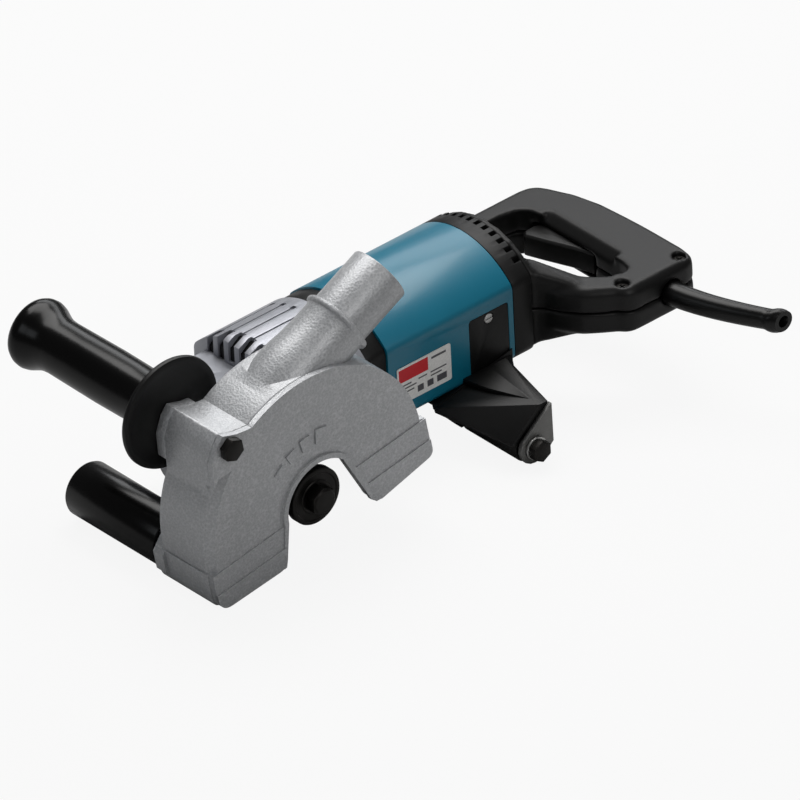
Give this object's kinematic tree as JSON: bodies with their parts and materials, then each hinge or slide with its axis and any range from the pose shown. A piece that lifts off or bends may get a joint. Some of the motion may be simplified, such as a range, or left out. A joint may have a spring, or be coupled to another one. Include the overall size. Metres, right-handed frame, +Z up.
{
  "type": "wall chaser",
  "caption": "Twin-disc wall chaser with a swinging disc guard and dust nozzle, geared motor, side grip, guide rollers and spade handle with trigger.",
  "frame": {"origin": "floor level under the middle of the overall box, machine standing on its rollers", "axes": "+X towards the spade handle, +Y away from the disc guard along the spindle, +Z up"},
  "size_m": [0.4496, 0.244, 0.1868],
  "materials": {
    "hammered_casting": "hammered grey paint",
    "bare_casting": "as cast, blasted",
    "housing_plastic": "satin moulded, teal",
    "black_plastic": "fine moulded grain",
    "black_rubber": "smooth satin",
    "black_steel": "black oxide",
    "bright_steel": "zinc plated",
    "laminated_steel": "stacked laminations",
    "copper": "lacquered",
    "carbon": "pressed carbon",
    "label": "printed foil"
  },
  "bodies": {
    "machine": {"motor_housing": "housing_plastic", "brush_cover_near": "black_plastic", "brush_cover_screw_near": "bright_steel", "brush_holder_near": "bright_steel", "carbon_brush_near": "carbon", "brush_cover_far": "black_plastic", "brush_cover_screw_far": "bright_steel", "brush_holder_far": "bright_steel", "carbon_brush_far": "carbon", "rating_plate": "label", "stator_core": "laminated_steel", "field_coil_upper": "copper", "field_coil_lower": "copper", "rotor_front_bearing": "bright_steel", "rotor_rear_bearing": "bright_steel", "gear_housing": "bare_casting", "bearing_box": "bare_casting", "spindle_near_bearing": "bright_steel", "spindle_far_bearing": "bright_steel", "baffle_ring": "black_plastic", "vent_ring": "black_plastic", "handle_upper_shell": "black_plastic", "handle_lower_shell": "black_plastic", "handle_screw_1": "black_steel", "handle_screw_2": "black_steel", "handle_screw_3": "black_steel", "trigger_pin": "bright_steel", "switch_block": "black_plastic", "cord_guard": "black_rubber", "rear_support": "black_plastic", "rear_end_plate": "bright_steel", "rear_washer": "bright_steel", "rear_axle_bolt": "black_steel", "rear_axle_nut": "bright_steel"},
    "rotor": {"armature_shaft": "bright_steel", "armature_core": "laminated_steel", "commutator": "copper", "cooling_fan": "black_plastic", "pinion": "black_steel"},
    "spindle": {"spindle": "bright_steel", "crown_gear": "black_steel", "spindle_bolt": "black_steel", "outer_flange": "black_steel", "spacer_ring_1": "bright_steel", "spacer_ring_2": "bright_steel", "spacer_ring_3": "bright_steel", "inner_flange": "black_steel"},
    "guard": {"guard_casting": "hammered_casting", "guard_cover": "hammered_casting", "guard_clamp_screw": "bright_steel", "grip_bolt": "black_steel", "hand_guard": "black_plastic", "side_grip": "black_rubber", "front_axle": "bright_steel"},
    "front_roller": {"front_roller": "black_rubber"},
    "rear_roller": {"rear_roller": "black_rubber"},
    "trigger": {"trigger": "black_plastic"},
    "lock_button": {"lock_button": "black_plastic"},
    "shaft_lock": {"shaft_lock": "black_plastic"}
  },
  "joints": [
    {"name": "rotor_spin", "type": "hinge", "parent": "machine", "child": "rotor", "pos_m": [0.03319, 0.042, 0.05837], "axis": [0.9984, 0, 0.0558], "continuous": true},
    {"name": "spindle_spin", "type": "hinge", "parent": "machine", "child": "spindle", "pos_m": [-0.11657, -0.0128, 0.05001], "axis": [0, 1, 0], "continuous": true},
    {"name": "guard_swing", "type": "hinge", "parent": "machine", "child": "guard", "pos_m": [-0.11657, -0.0128, 0.05001], "axis": [0, 1, 0], "range_deg": [-12, 14]},
    {"name": "front_roller_spin", "type": "hinge", "parent": "guard", "child": "front_roller", "pos_m": [-0.18172, 0.0352, 0.01841], "axis": [0, 1, 0], "continuous": true},
    {"name": "rear_roller_spin", "type": "hinge", "parent": "machine", "child": "rear_roller", "pos_m": [0.06383, -0.0328, 0.01201], "axis": [0, 1, 0], "continuous": true},
    {"name": "trigger_pull", "type": "hinge", "parent": "machine", "child": "trigger", "pos_m": [0.17897, 0.012, 0.06652], "axis": [0.0558, 0, -0.9984], "range_deg": [0, 7], "stiffness_Nm_per_rad": 1.5, "springref_deg": -8.59},
    {"name": "lock_button_press", "type": "slide", "parent": "machine", "child": "lock_button", "axis": [-0.0558, 0, 0.9984], "range_m": [0, 0.003], "stiffness_N_per_m": 800, "springref_m": -0.002},
    {"name": "shaft_lock_press", "type": "slide", "parent": "machine", "child": "shaft_lock", "axis": [0, -1, 0], "range_m": [0, 0.004], "stiffness_N_per_m": 600, "springref_m": -0.002}
  ],
  "couplings": [
    {"joint": "spindle_spin", "follows": "rotor_spin", "ratio": 0.2973}
  ]
}
